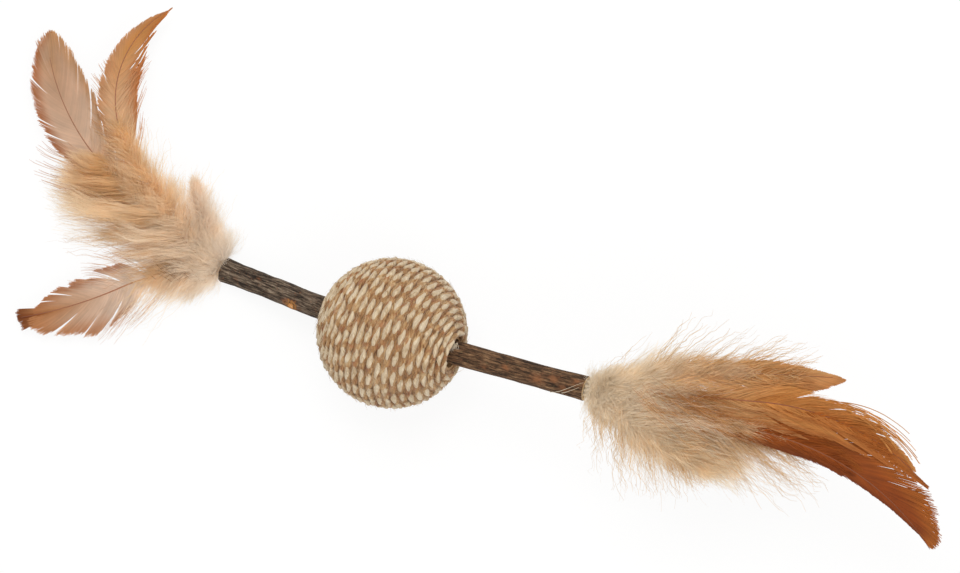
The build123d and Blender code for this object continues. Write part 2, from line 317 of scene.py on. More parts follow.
# Strands: thin ribbons that grow from both sides of a line. One tree makes the vanes, the down of the
# feathers and the stray fibres of the twine
strandSockets = {
    **dict.fromkeys(("Barbs", "Segments", "Seed"), "Int"),
    **dict.fromkeys((
        "From", "To", "Jitter", "Left reach", "Right reach", "Base", "Swell", "Fullness", "Edge", "Ragged",
        "Root angle", "Tip angle", "Closing", "Angle jitter", "Curl", "Rise", "Spread", "Lift", "Groups",
        "Group swing", "Group rise", "Clump", "Group length", "Wave", "Wave scale", "Own wave", "Width",
        "Thin", "Twist", "Shingle", "Root spread", "Floor"), "Float"),
}
strandSteps = {
    "line": ("GeometryNodeMeshToCurve", {}, {"Mesh": "@in.Geometry"}),
    "shaft": ("GeometryNodeSetCurveNormal", {"mode": "Z_UP"}, {"Curve": "@line"}),
    "roots": ("GeometryNodePoints", {}, {"Count": "@in.Barbs"}),
    "rows": plus("@in.Segments", 1),
    "ribbon": ("GeometryNodeMeshGrid", {},
               {"Size X": 1, "Size Y": 1, "Vertices X": "@rows", "Vertices Y": 2}),
    "stuck": ("GeometryNodeInstanceOnPoints", {}, {"Points": "@roots", "Instance": "@ribbon.Mesh"}),
    "ribbons": ("GeometryNodeRealizeInstances", {}, {"Geometry": "@stuck"}),
    # which strand a vertex is in, how far along it is, and on which edge of the ribbon
    "index": ("GeometryNodeInputIndex", {}, {}),
    "perStrand": times("@rows", 2),
    "strandPart": maths("DIVIDE", "@index", "@perStrand"),
    "strand": maths("FLOOR", "@strandPart"),
    "place": ("GeometryNodeInputPosition", {}, {}),
    "flat": split("@place"),
    "t": plus("@flat.X", 0.5),
    # random values of each strand: a for length, angle and rise, b for tone, twist and place
    "otherSeed": plus("@in.Seed", 101),
    "randomA": randomVector("@strand", "@in.Seed"),
    "randomB": randomVector("@strand", "@otherSeed"),
    "a": split("@randomA"),
    "b": split("@randomB"),
    # left and right in turn, from the first share of the line to the last
    "half": maths("MODULO", "@strand", 2),
    "leftSign": timesPlus("@half", -2, 1),
    "normalSign": times("@leftSign", -1),
    "jittered": timesPlus("@b.Z", "@in.Jitter", "@strand"),
    "u": maths("DIVIDE", "@jittered", "@in.Barbs", clamp=True),
    "share": mapped("@u", new=("@in.From", "@in.To")),
    "root": ("GeometryNodeSampleCurve", {"mode": "FACTOR"}, {"Curves": "@shaft", "Factor": "@share"}),
    "up": vectorMaths("CROSS_PRODUCT", "@root.Normal", "@root.Tangent"),
    "sideways": scaled("@root.Normal", "@normalSign"),
    # strands that cling together share a swing, a rise and a length, which opens slits between the groups
    "groupPart": timesPlus("@u", "@in.Groups", "@half"),
    "groupWhole": maths("FLOOR", "@groupPart"),
    "group": timesPlus("@groupWhole", 2, "@half"),
    "randomG": randomVector("@group", "@otherSeed"),
    "g": split("@randomG"),
    # they fan out round the line by their rise
    "riseShare": blended("FLOAT", "@in.Group rise", "@a.Z", "@g.Z"),
    "fan": timesPlus("@riseShare", "@in.Spread", "@in.Rise"),
    "fanFlat": maths("COSINE", "@fan"),
    "fanUp": maths("SINE", "@fan"),
    "outFlat": scaled("@sideways", "@fanFlat"),
    "outUp": scaled("@up", "@fanUp"),
    "outward": vectorMaths("ADD", "@outFlat", "@outUp"),
    "hinge": vectorMaths("CROSS_PRODUCT", "@root.Tangent", "@outward"),
    "closing": maths("POWER", "@u", "@in.Closing"),
    "plainAngle": mapped("@closing", new=("@in.Root angle", "@in.Tip angle")),
    "open": minus(1, "@closing"),
    "swing": times("@in.Group swing", "@open"),
    "groupAngle": timesPlus("@g.X", "@swing", "@plainAngle"),
    "inGroup": maths("FRACT", "@groupPart"),
    "fromMiddle": minus("@inGroup", 0.5),
    "clumped": timesPlus("@fromMiddle", "@in.Clump", "@groupAngle"),
    "angle": timesPlus("@a.Y", "@in.Angle jitter", "@clumped"),
    "endAngle": minus("@angle", "@in.Curl"),
    "rotate0": rotated("@root.Tangent", "@hinge", "@angle"),
    "rotate1": rotated("@root.Tangent", "@hinge", "@endAngle"),
    # length of a strand from its place on the line
    "swell": mapped("@u", old=(0.0, "@in.Swell"), new=("@in.Base", 1.0), smooth=True),
    "tipped": maths("POWER", "@u", "@in.Fullness"),
    "leftOver": minus(1, "@tipped"),
    "taper": maths("POWER", "@leftOver", "@in.Edge"),
    "profile": times("@swell", "@taper"),
    "reach": mapped("@half", new=("@in.Left reach", "@in.Right reach")),
    "plainLength": times("@reach", "@profile"),
    "ragged": timesPlus("@a.X", "@in.Ragged", 1),
    "raggedLength": times("@plainLength", "@ragged"),
    "groupTrim": times("@in.Group length", "@open"),
    "grouped": timesPlus("@g.Y", "@groupTrim", 1),
    "length": times("@raggedLength", "@grouped"),
    # the strand's own line bends evenly from its first direction to its last
    "tt": times("@t", "@t"),
    "late": times("@tt", 0.5),
    "early": minus("@t", "@late"),
    "earlyLength": times("@early", "@length"),
    "lateLength": times("@late", "@length"),
    "stepEarly": scaled("@rotate0", "@earlyLength"),
    "stepLate": scaled("@rotate1", "@lateLength"),
    "lifted": times("@lateLength", "@in.Lift"),
    "liftStep": joined(Z="@lifted"),
    "scatter": scaled("@randomB", "@in.Root spread"),
    "start": vectorMaths("ADD", "@root.Position", "@scatter"),
    "spine1": vectorMaths("ADD", "@start", "@stepEarly"),
    "spine2": vectorMaths("ADD", "@spine1", "@stepLate"),
    "spine": vectorMaths("ADD", "@spine2", "@liftStep"),
    # waves: strands close together wave alike, unless own wave sets them apart
    "apart": scaled("@randomB", "@in.Own wave"),
    "wavePlace": vectorMaths("ADD", "@spine", "@apart"),
    "waves": cloudy("@wavePlace", "@in.Wave scale", 1.0),
    "waveSigned": vectorMaths("SUBTRACT", "@waves.Color", (0.5, 0.5, 0.5)),
    "waveHere": times("@in.Wave", "@t"),
    "wave": scaled("@waveSigned", "@waveHere"),
    "waved": vectorMaths("ADD", "@spine", "@wave"),
    # the ribbon lies in the plane of the vane, turned by its shingle and twist, and thins to its tip
    "way": blended("VECTOR", "@t", "@rotate0", "@rotate1"),
    "face": scaled("@hinge", "@leftSign"),
    "acrossFlat": vectorMaths("CROSS_PRODUCT", "@face", "@way"),
    "roll": timesPlus("@b.Y", "@in.Twist", "@in.Shingle"),
    "acrossRolled": rotated("@acrossFlat", "@way", "@roll"),
    "thinning": timesPlus("@t", "@in.Thin", 1),
    "wideHere": times("@in.Width", "@thinning"),
    "edgePlace": times("@flat.Y", "@wideHere"),
    "across": scaled("@acrossRolled", "@edgePlace"),
    "free": vectorMaths("ADD", "@waved", "@across"),
    # nothing goes through the floor: what would is laid just above it
    "freeParts": split("@free"),
    "laid": timesPlus("@freeParts.Z", -0.1, "@in.Floor"),
    "kept": maths("MAXIMUM", "@freeParts.Z", "@laid"),
    "final": joined(X="@freeParts.X", Y="@freeParts.Y", Z="@kept"),
    # share along the line, share along the strand (below zero on the right) and tone, for the material
    "sided": times("@t", "@leftSign"),
    "marks": joined(X="@share", Y="@sided", Z="@b.X"),
    "marked": stored("@ribbons", "strand", "@marks"),
    "shape": ("GeometryNodeSetPosition", {}, {"Geometry": "@marked", "Position": "@final"}),
}
strandTree = newTree("strands", strandSockets, strandSteps)
strandAngles = ("Root angle", "Tip angle", "Angle jitter", "Curl", "Rise", "Spread", "Group swing", "Clump",
                "Twist", "Shingle")
strandLengths = ("Left reach", "Right reach", "Wave", "Own wave", "Width", "Root spread", "Floor")
strandPlain = {
    "Segments": 10, "Jitter": 0.4, "Base": 0.75, "Swell": 0.3, "Fullness": 3.0, "Edge": 0.6, "Ragged": 0.05,
    "Closing": 1.0, "Angle jitter": 0.8, "Curl": 14, "Rise": 0, "Spread": 2, "Lift": 0.0, "Groups": 7.0,
    "Group swing": 3, "Group rise": 0.0, "Clump": 0, "Group length": 0.03, "Wave": 0.25, "Wave scale": 150.0,
    "Own wave": 0.0, "Width": 0.5, "Thin": -0.75, "Twist": 2, "Shingle": 5, "Root spread": 0.0, "Floor": 0.15,
    "Seed": 1,
}


def growStrands(name, line, material, spec):
    # sizes in the specs are millimetres and degrees; the reach is given for the left and the right side
    values = {**strandPlain, **spec, "Material": material}
    values["Left reach"], values["Right reach"] = values.pop("Reach")
    for key in strandAngles:
        values[key] = math.radians(values[key])
    for key in strandLengths:
        values[key] = values[key] * mm
    return growPiece(name, line, strandTree, values)


# Shafts and other round rods along a line, thinning from the root to the tip
rodTree = newTree("rod", {"Root radius": "Float", "Tip radius": "Float", "Sides": "Int"}, {
    "line": ("GeometryNodeMeshToCurve", {}, {"Mesh": "@in.Geometry"}),
    "place": ("GeometryNodeSplineParameter", {}, {}),
    "radius": mapped("@place.Factor", new=("@in.Root radius", "@in.Tip radius")),
    "marks": joined(X="@place.Factor"),
    "marked": stored("@line", "strand", "@marks"),
    "section": ("GeometryNodeCurvePrimitiveCircle", {}, {"Resolution": "@in.Sides", "Radius": 1.0}),
    "shape": ("GeometryNodeCurveToMesh", {},
              {"Curve": "@marked", "Profile Curve": "@section", "Scale": "@radius", "Fill Caps": True}),
})


def vaneMaterial(name, look):
    # keratin barbs, dyed by nature: satin, let light through, each barb a little lighter or darker
    return newMaterial(name, {
        "strand": attribute("strand"),
        "parts": split("@strand.Vector"),
        "along": ramp("@parts.X", look["along"]),
        "leftShare": mapped("@parts.Y", old=(look["edgeFrom"], 1.0), new=(0.0, look["edgeShare"]),
                            smooth=True),
        "rightShare": mapped("@parts.Y", old=(-look["edgeFrom"], -1.0), new=(0.0, look["edgeShare"]),
                             smooth=True),
        "leftEdged": blended("RGBA", "@leftShare", "@along.Color", hexColour(look["leftEdge"])),
        "edged": blended("RGBA", "@rightShare", "@leftEdged", hexColour(look["rightEdge"])),
        "object": ("ShaderNodeTexCoord", {}, {}),
        # cloudy markings a few millimetres wide
        "cloud": cloudy("@object.Object", 1 / (5 * mm), 3.0),
        "cloudTone": mapped("@cloud", old=(0.3, 0.7), new=(0.92, 1.06)),
        "barbTone": mapped("@parts.Z", old=(-1.0, 1.0), new=look["tone"]),
        "tone": times("@cloudTone", "@barbTone"),
        "colour": ("ShaderNodeHueSaturation", {}, {"Color": "@edged", "Value": "@tone"}),
        "satin": ("ShaderNodeBsdfPrincipled", {},
                  {"Base Color": "@colour", "Roughness": 0.6, "Specular IOR Level": 0.25}),
        "through": ("ShaderNodeBsdfTranslucent", {}, {"Color": "@colour"}),
        "surface": ("ShaderNodeMixShader", {}, {0: look["through"], 1: "@satin", 2: "@through"}),
    })


def hornMaterial(name, stops):
    # the hollow shaft of a feather: smooth horn with a soft gloss, darker towards the tip
    return newMaterial(name, {
        "strand": attribute("strand"),
        "parts": split("@strand.Vector"),
        "along": ramp("@parts.X", stops),
        "object": ("ShaderNodeTexCoord", {}, {}),
        "grain": cloudy("@object.Object", 1 / (0.8 * mm)),
        "rough": mapped("@grain", new=(0.3, 0.5)),
        "surface": ("ShaderNodeBsdfPrincipled", {},
                    {"Base Color": "@along.Color", "Roughness": "@rough", "IOR": 1.54}),
    })


# Feathers. Lengths in millimetres and angles in degrees, as the solids have them; heading and pitch are
# given at the root, at the middle share and at the tip
featherShape = {"middleShare": 0.45, "steps": 60, "gap": 0.3, "tipRadius": 0.06, "sides": 8}


def spreadValue(values, share):
    root, middle, tip = values
    bend = featherShape["middleShare"]
    if share < bend:
        return root + (middle - root) * share / bend
    return middle + (tip - middle) * (share - bend) / (1 - bend)


def shaftLine(spec):
    # the line of a shaft, from its bend beside the glue to its tip, in metres
    joint = [j for j in frame["joints"] if j["name"] == spec["name"] + "_sway"][0]
    points = [Vector(joint["pos_m"])]
    steps = featherShape["steps"]
    lengths = [featherShape["gap"] * mm] + [spec["length"] * mm / steps] * steps
    for k, length in enumerate(lengths):
        share = max(0, k - 0.5) / steps
        heading = math.radians(spreadValue(spec["headings"], share))
        pitch = math.radians(spreadValue(spec["pitches"], share))
        flat = math.cos(pitch)
        way = Vector((flat * math.cos(heading), flat * math.sin(heading), math.sin(pitch)))
        points.append(points[-1] + way * length)
    return points


hornPale = hornMaterial("Feather shaft, pale horn",
                        [(0.0, "#EBDCC0"), (0.3, "#CDA272"), (0.5, "#9C6340"), (1.0, "#80482A")])
hornDark = hornMaterial("Feather shaft, brown horn",
                        [(0.0, "#E6D3B2"), (0.25, "#A8703C"), (0.45, "#8A4C20"), (1.0, "#6E3512")])


def featherLook(leftEdge, rightEdge, edgeFrom, edgeShare, tone, through, along):
    # colours at both edges, where on a barb they start and their share at its end, how much the barbs differ
    # in tone, how much light goes through, and the colours along the shaft
    return {"along": along, "leftEdge": leftEdge, "rightEdge": rightEdge, "edgeFrom": edgeFrom,
            "edgeShare": edgeShare, "tone": tone, "through": through}


pinkTanLook = featherLook(
    "#B46C36", "#CB9C6C", 0.5, 0.85, (0.93, 1.06), 0.45,
    [(0.0, "#F6E0BE"), (0.42, "#E6C59E"), (0.58, "#E0C4AA"), (0.8, "#D2AB8A"), (0.92, "#C8986A"),
     (1.0, "#BA8450")])
tanTipLook = {**pinkTanLook, "edgeFrom": 0.7, "edgeShare": 0.55}
orangeTanLook = featherLook(
    "#C89264", "#C67630", 0.2, 0.85, (0.9, 1.07), 0.38,
    [(0.0, "#F4DAB0"), (0.45, "#EAC79C"), (0.62, "#DFB68C"), (0.8, "#D29656"), (1.0, "#BC7434")])
lowLook = featherLook(
    "#C08250", "#B87646", 0.4, 0.8, (0.9, 1.07), 0.38,
    [(0.0, "#F6E4CA"), (0.35, "#F0DECC"), (0.6, "#D6B294"), (0.74, "#C48E62"), (0.82, "#B4723E")])
darkTipLook = featherLook(
    "#86481E", "#86481E", 0.45, 0.9, (0.9, 1.07), 0.4,
    [(0.76, "#C08858"), (0.86, "#9A5626"), (0.92, "#74360F")])
shortLook = featherLook(
    "#D8A66C", "#C28248", 0.4, 0.7, (0.82, 1.12), 0.3,
    [(0.0, "#F0D8AE"), (0.4, "#E4BC88"), (0.6, "#D8A468"), (1.0, "#C68650")])
middleLook = featherLook(
    "#D0924E", "#A85C22", 0.4, 0.7, (0.8, 1.14), 0.25,
    [(0.0, "#F0D8AE"), (0.3, "#E2B882"), (0.45, "#D0904C"), (0.75, "#BA6E2C"), (1.0, "#9C541E")])
longLook = featherLook(
    "#B06420", "#6A2C04", 0.35, 0.75, (0.78, 1.14), 0.22,
    [(0.0, "#EBD0A4"), (0.28, "#D09A60"), (0.42, "#A65618"), (0.75, "#8A3E06"), (1.0, "#803806")])
goldDownLook = featherLook(
    "#F8E6CC", "#F8E6CC", 0.3, 0.6, (0.9, 1.05), 0.5,
    [(0.0, "#FFF6EA"), (0.12, "#FBECD8"), (0.3, "#F6DBB2"), (0.6, "#EEC88E"), (1.0, "#E6BB84")])
brownStrandLook = featherLook(
    "#C09462", "#B48450", 0.3, 0.6, (0.8, 1.12), 0.3,
    [(0.0, "#DEBC90"), (0.15, "#CC9862"), (0.34, "#B0723A")])
# darker brown strands for the root of the low feather: brown strands, and painted shade between the fluff and
# that root
shadedBrownStrandLook = {**brownStrandLook, "along": [(0.0, "#B28A5C"), (0.24, "#946636")], "leftEdge": "#A87C4C",
                  "rightEdge": "#A87C4C"}
wispLook = featherLook(
    "#D6B080", "#D6B080", 0.2, 0.7, (0.85, 1.1), 0.3,
    [(0.0, "#EED6B0"), (0.4, "#DCBA8C"), (1.0, "#C89C68")])
tanWispLook = {**wispLook, "leftEdge": "#C08A50", "rightEdge": "#C08A50", "edgeShare": 0.85}
paleDownLook = featherLook(
    "#FAEED8", "#FAEED8", 0.3, 0.6, (0.88, 1.05), 0.5,
    [(0.0, "#FFF4E2"), (0.45, "#F6E4C6"), (1.0, "#E6C89C")])
creamDownLook = featherLook(
    "#FCF0DE", "#FCF0DE", 0.3, 0.6, (0.92, 1.04), 0.5,
    [(0.0, "#FBF2E8"), (0.4, "#F8E9D8"), (1.0, "#F0DAC0")])
beigeDownLook = featherLook(
    "#F6E2C4", "#F6E2C4", 0.35, 0.65, (0.86, 1.06), 0.5,
    [(0.0, "#FFF6E6"), (0.18, "#FBEBD0"), (0.4, "#ECCDA2"), (0.75, "#D8AC7A"), (1.0, "#C8965E")])
lightDownLook = {**beigeDownLook,
                 "along": [(0.0, "#FFF6E6"), (0.18, "#FDF0DA"), (0.4, "#F4DAB4"), (0.75, "#E2BA8A"),
                           (1.0, "#D2A26C")]}

# layers of a feather: the closed vane and its tip, looser and stray barbs beside it, down, brown streaks in
# the down, single long wisps and a tuft at the root
downPlain = {
    "Barbs": 7200, "Segments": 8, "From": 0.0, "To": 0.5, "Jitter": 3.0, "Base": 0.5, "Swell": 0.25,
    "Root angle": 82, "Tip angle": 46, "Angle jitter": 9, "Curl": 30, "Rise": 18, "Spread": 62,
    "Ragged": 0.42, "Groups": 30.0, "Group swing": 15, "Group length": 0.2, "Group rise": 0.5, "Clump": 7,
    "Wave": 5.5, "Wave scale": 150.0, "Own wave": 1.3, "Width": 0.075, "Thin": -0.5, "Twist": 180,
    "Root spread": 1.8,
}
layerPlain = {
    "down": downPlain,
    "tuft": {**downPlain, "Barbs": 1500, "To": 0.08, "Root angle": 100, "Tip angle": 70, "Reach": (7.0, 7.0),
             "Base": 1.0, "Fullness": 20.0, "Rise": 0, "Spread": 180, "Root spread": 0.8},
    "wisps": {**downPlain, "Barbs": 260, "Segments": 14, "From": 0.1, "To": 0.7, "Root angle": 60,
              "Tip angle": 36, "Angle jitter": 6, "Curl": 12, "Rise": 8, "Spread": 22, "Groups": 26.0,
              "Group swing": 10, "Wave": 5.0, "Wave scale": 260.0, "Own wave": 3.0, "Width": 0.15,
              "Thin": -0.7, "Base": 0.8},
    "tip": {"Barbs": 90, "Base": 1.0, "Fullness": 40.0, "Edge": 0.3, "Root angle": 15, "Tip angle": 1,
            "Curl": 4, "Group swing": 0},
    "vane": {"Barbs": 820, "From": 0.4, "To": 0.96, "Root angle": 48, "Tip angle": 8, "Closing": 2.2,
             "Curl": 18},
    "streaks": {**downPlain, "Barbs": 620, "Segments": 10, "From": 0.08, "To": 0.34, "Base": 0.8,
                "Root angle": 30, "Tip angle": 14, "Curl": 12, "Angle jitter": 10, "Rise": 22, "Spread": 30,
                "Wave": 4.0, "Width": 0.13, "Lift": -0.3, "Root spread": 2.4},
    "strays": {"Barbs": 60, "Segments": 16, "From": 0.5, "To": 0.68, "Base": 0.9, "Fullness": 8.0,
               "Edge": 0.5, "Root angle": 30, "Tip angle": 22, "Angle jitter": 2, "Curl": 60, "Rise": 3,
               "Spread": 4, "Ragged": 0.2, "Groups": 9.0, "Group swing": 4, "Clump": 5, "Width": 0.42,
               "Thin": -0.6, "Twist": 20},
    "loose": {"Barbs": 130, "Segments": 12, "From": 0.3, "To": 0.6, "Base": 0.8, "Fullness": 6.0, "Edge": 0.5,
              "Root angle": 66, "Tip angle": 52, "Angle jitter": 5, "Curl": 32, "Rise": 4, "Spread": 9,
              "Ragged": 0.14, "Groups": 14.0, "Group swing": 6, "Group length": 0.1, "Wave": 1.4,
              "Own wave": 0.6, "Width": 0.2, "Thin": -0.8, "Twist": 30},
}

leftTuft = {"Root angle": 76, "Tip angle": 62}
rightTuft = {"Reach": (4.6, 4.6), "Root angle": 100, "Tip angle": 50, "Root spread": 1.1}
featherSpecs = [
    {"name": "left_tall", "length": 81, "headings": (157, 155, 112), "pitches": (8, 0, -2), "horn": hornPale,
     "radius": 0.32, "slot": "pinkish_tan_feather", "vaneLook": pinkTanLook, "downLook": goldDownLook,
     "wispLook": tanWispLook, "tipLook": tanTipLook, "seed": 10, "shaftShare": 0.92,
     "layers": {
         "down": {"Reach": (23.0, 6.5), "Barbs": 12000, "From": 0.03, "To": 0.54, "Root angle": 73, "Rise": 6,
                  "Spread": 48, "Groups": 32.0, "Group swing": 17, "Group length": 0.32, "Group rise": 0.9,
                  "Base": 0.38, "Swell": 0.5, "Clump": 15, "Angle jitter": 3, "Ragged": 0.24},
         "tuft": leftTuft,
         "vane": {"Reach": (12.0, 16.4), "From": 0.46, "To": 0.93, "Fullness": 6.0, "Edge": 0.75,
                  "Closing": 2.6, "Groups": 21.0, "Group swing": 1.4, "Group length": 0.03, "Clump": 0.8},
         "tip": {"Reach": (15.6, 0.3), "From": 0.78, "To": 0.95, "Root angle": 6, "Tip angle": -16,
                 "Fullness": 1.0, "Edge": 0.5, "Barbs": 220},
         "loose": {"Reach": (20.0, 14.0), "From": 0.38, "To": 0.58, "Root angle": 80, "Tip angle": 58,
                   "Curl": 52, "Barbs": 84, "Width": 0.34, "Groups": 9.0, "Group swing": 8, "Clump": 7},
         "wisps": {"Reach": (23.0, 7.0), "From": 0.06, "To": 0.52, "Barbs": 760, "Width": 0.17,
                   "Root angle": 72, "Tip angle": 46, "Curl": 30, "Groups": 32.0, "Clump": 12, "Ragged": 0.3,
                   "Group length": 0.3}}},
    {"name": "left_curved", "length": 83, "headings": (152, 141, 46), "pitches": (8, 2, -1), "horn": hornPale,
     "radius": 0.32, "slot": "orange_tan_feather", "vaneLook": orangeTanLook, "downLook": goldDownLook,
     "seed": 20, "shaftShare": 1.0,
     "layers": {
         "down": {"Reach": (9.0, 6.5), "To": 0.56},
         "tuft": leftTuft,
         "vane": {"Reach": (7.4, 15.0), "From": 0.46, "To": 0.99, "Groups": 16.0, "Group swing": 3.2,
                  "Group length": 0.05, "Clump": 1.5, "Edge": 0.7, "Closing": 1.6},
         "loose": {"Reach": (9.0, 14.0), "From": 0.42, "To": 0.74, "Root angle": 46, "Tip angle": 38,
                   "Curl": 6, "Barbs": 150, "Width": 0.3, "Groups": 11.0, "Clump": 6},
         "wisps": {"Reach": (8.0, 11.0), "From": 0.2, "To": 0.6, "Barbs": 180}}},
    {"name": "left_low", "length": 57, "headings": (190, 222, 206), "pitches": (8, 0, -3), "horn": hornPale,
     "radius": 0.3, "slot": "pinkish_tan_feather", "vaneLook": lowLook, "downLook": goldDownLook, "seed": 30,
     "shaftShare": 0.96, "streakLook": shadedBrownStrandLook, "tipLook": darkTipLook,
     "layers": {
         "down": {"Reach": (7.5, 7.5), "To": 0.32, "Barbs": 4600, "Rise": -4, "Spread": 34},
         # brown strands, darkened as painted shade between the fluff and the root
         "streaks": {"Reach": (1.0, 9.0), "From": 0.02, "To": 0.24, "Barbs": 460, "Root angle": 50,
                     "Tip angle": 36},
         "tuft": leftTuft,
         "vane": {"Reach": (14.0, 11.0), "Groups": 10.0, "Group swing": 9, "Group length": 0.08, "From": 0.32,
                  "To": 0.82, "Fullness": 5.0, "Edge": 0.5},
         "tip": {"Reach": (11.0, 11.0), "From": 0.77, "To": 0.965, "Root angle": 17, "Fullness": 1.0,
                 "Edge": 0.95, "Barbs": 150},
         "loose": {"Reach": (18.0, 14.0), "From": 0.18, "To": 0.5},
         "wisps": {"Reach": (17.0, 10.0), "From": 0.02, "To": 0.4, "Barbs": 180}}},
    {"name": "left_down", "length": 28, "headings": (136, 124, 112), "pitches": (6, 12, 6), "horn": hornPale,
     "radius": 0.2, "slot": "cream_down", "downLook": creamDownLook, "seed": 40, "shaftShare": 0.6,
     "layers": {
         "down": {"Reach": (4.5, 6.0), "To": 0.8, "Tip angle": 30, "Barbs": 4200, "Root spread": 1.2},
         "tuft": leftTuft,
         "wisps": {"Reach": (5.0, 8.0), "To": 0.85, "Barbs": 120}}},
    {"name": "right_short", "length": 66.5, "headings": (29, 18, 13), "pitches": (19, 6, -10),
     "horn": hornDark, "radius": 0.32, "slot": "chestnut_feather", "vaneLook": shortLook,
     "downLook": lightDownLook, "wispLook": wispLook, "seed": 50, "shaftShare": 0.95,
     "layers": {
         "down": {"Reach": (8.5, 6.0), "To": 0.62, "Rise": 4, "Lift": -0.4, "Fullness": 2.4, "Root angle": 50,
                  "Tip angle": 22, "Curl": 16, "Base": 0.2, "Swell": 0.32},
         "tuft": rightTuft,
         "vane": {"Reach": (7.0, 11.0), "From": 0.42, "Root angle": 34, "Curl": 10},
         "loose": {"Reach": (12.0, 14.0), "Root angle": 40, "Tip angle": 28, "From": 0.2, "To": 0.8,
                   "Barbs": 320, "Rise": 16, "Spread": 24},
         "wisps": {"Reach": (15.0, 4.0), "From": 0.2, "To": 0.8, "Root angle": 46, "Tip angle": 26,
                   "Rise": -2, "Spread": 16, "Barbs": 480, "Width": 0.19}}},
    {"name": "right_middle", "length": 97, "headings": (14, 13, -34), "pitches": (19, 4, -14),
     "horn": hornDark, "radius": 0.32, "slot": "chestnut_feather", "vaneLook": middleLook,
     "downLook": beigeDownLook, "seed": 60, "shaftShare": 0.91,
     "layers": {
         "down": {"Reach": (9.5, 9.5), "To": 0.26, "Barbs": 4800, "Rise": 8, "Lift": -0.4, "Fullness": 2.4,
                  "Root angle": 48, "Tip angle": 18, "Curl": 16, "Base": 0.25, "Swell": 0.4},
         "streaks": {"Reach": (1.5, 19.0), "Barbs": 520, "From": 0.1, "Root angle": 36},
         "tuft": rightTuft,
         "vane": {"Reach": (10.0, 20.0), "From": 0.28, "To": 0.89, "Root angle": 32, "Fullness": 5.0,
                  "Edge": 0.45, "Curl": 14, "Groups": 14.0, "Group swing": 3.0, "Clump": 1.0},
         "strays": {"Reach": (29.0, 0.3)},
         "loose": {"Reach": (15.0, 14.0), "Root angle": 36, "Tip angle": 24, "From": 0.14, "To": 0.8,
                   "Barbs": 420, "Rise": 18, "Spread": 26}}},
    {"name": "right_long", "length": 104, "headings": (6, 4, -42), "pitches": (19, 2, -16), "horn": hornDark,
     "radius": 0.34, "slot": "chestnut_feather", "vaneLook": longLook, "downLook": beigeDownLook,
     "wispLook": wispLook, "seed": 70, "shaftShare": 0.97,
     "layers": {
         "down": {"Reach": (5.0, 19.0), "To": 0.42, "Barbs": 7400, "Rise": -32, "Spread": 26, "Lift": -0.4,
                  "Fullness": 2.6, "Root angle": 56, "Tip angle": 20, "Curl": 18, "Base": 0.2, "Swell": 0.4},
         "tuft": rightTuft,
         "vane": {"Reach": (19.0, 8.0), "From": 0.28, "To": 0.9, "Root angle": 32, "Fullness": 6.0,
                  "Edge": 0.45, "Curl": 10, "Groups": 12.0, "Group swing": 0.8, "Clump": 0.5},
         "loose": {"Reach": (14.0, 12.0), "Root angle": 38, "Tip angle": 24, "From": 0.14, "To": 0.66,
                   "Barbs": 360, "Rise": 14, "Spread": 26},
         "wisps": {"Reach": (0.3, 24.0), "From": 0.16, "To": 0.5, "Barbs": 800, "Rise": -26, "Spread": 12,
                   "Wave": 7.0, "Width": 0.18, "Root angle": 50, "Tip angle": 30, "Root spread": 0.1,
                   "Lift": -0.25},
         "tip": {"Reach": (15.0, 0.3), "From": 0.74, "To": 0.93, "Root angle": 33, "Fullness": 1.6,
                 "Edge": 0.5, "Barbs": 320, "Width": 0.45}}},
    {"name": "right_down", "length": 56, "headings": (-13, -13, -15), "pitches": (19, 0, -14),
     "horn": hornPale, "radius": 0.2, "slot": "cream_down", "downLook": paleDownLook, "wispLook": wispLook,
     "seed": 80, "shaftShare": 0.5,
     "layers": {
         "down": {"Reach": (21.0, 10.5), "To": 0.6, "Root angle": 62, "Tip angle": 14, "Fullness": 3.4,
                  "Edge": 0.5, "Base": 0.2, "Swell": 0.4, "Curl": 18, "Rise": -4, "Lift": -0.4, "Barbs": 9000,
                  "Root spread": 2.2, "Angle jitter": 15, "Group swing": 20, "Wave": 8.0},
         "tuft": rightTuft,
         "wisps": {"Reach": (17.0, 12.5), "From": 0.02, "To": 0.6, "Barbs": 900, "Root angle": 74,
                   "Tip angle": 26, "Wave": 9.0, "Width": 0.17, "Rise": 2, "Ragged": 0.55, "Clump": 9,
                   "Group swing": 14}}},
]

# layers that have the vane's colours, and what the layers with colours of their own are called
vaneLayers = ("vane", "tip", "loose", "strays")
ownFinishes = {"tip": ("tipLook", "Feather tip, "), "streaks": ("streakLook", "Feather strands, "),
               "wisps": ("wispLook", "Feather wisps, ")}


def makeFeather(spec):
    line = shaftLine(spec)
    shown = line[:int(len(line) * spec["shaftShare"])]
    title = spec["name"].replace("_", " ")
    downFinish = vaneMaterial("Feather down, " + title, spec["downLook"])
    vaneFinish = vaneMaterial("Feather vane, " + title, spec["vaneLook"]) if "vaneLook" in spec else None
    ownLooks = {"streakLook": brownStrandLook, "wispLook": spec["downLook"], **spec}
    pieces = []
    for count, (layer, values) in enumerate(spec["layers"].items()):
        finish = vaneFinish if layer in vaneLayers else downFinish
        look, label = ownFinishes.get(layer, (None, None))
        if look in ownLooks:
            finish = vaneMaterial(label + title, ownLooks[look])
        values = {**layerPlain[layer], **values, "Seed": spec["seed"] + count}
        pieces.append(growStrands(spec["name"] + "_" + layer, line, finish, values))
    pieces.append(growPiece(spec["name"] + "_shaft", shown, rodTree, {
        "Root radius": spec["radius"] * mm, "Tip radius": featherShape["tipRadius"] * mm,
        "Sides": featherShape["sides"], "Material": spec["horn"]}))
    for piece in pieces:
        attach(piece, spec["name"])
    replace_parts(pieces[0], spec["name"] + "_feather")
    print("feather", spec["name"], [len(p.data.polygons) for p in pieces], "faces")


for featherSpec in featherSpecs:
    makeFeather(featherSpec)

floorGap = 0.02    # millimetres that the toy lies above the floor


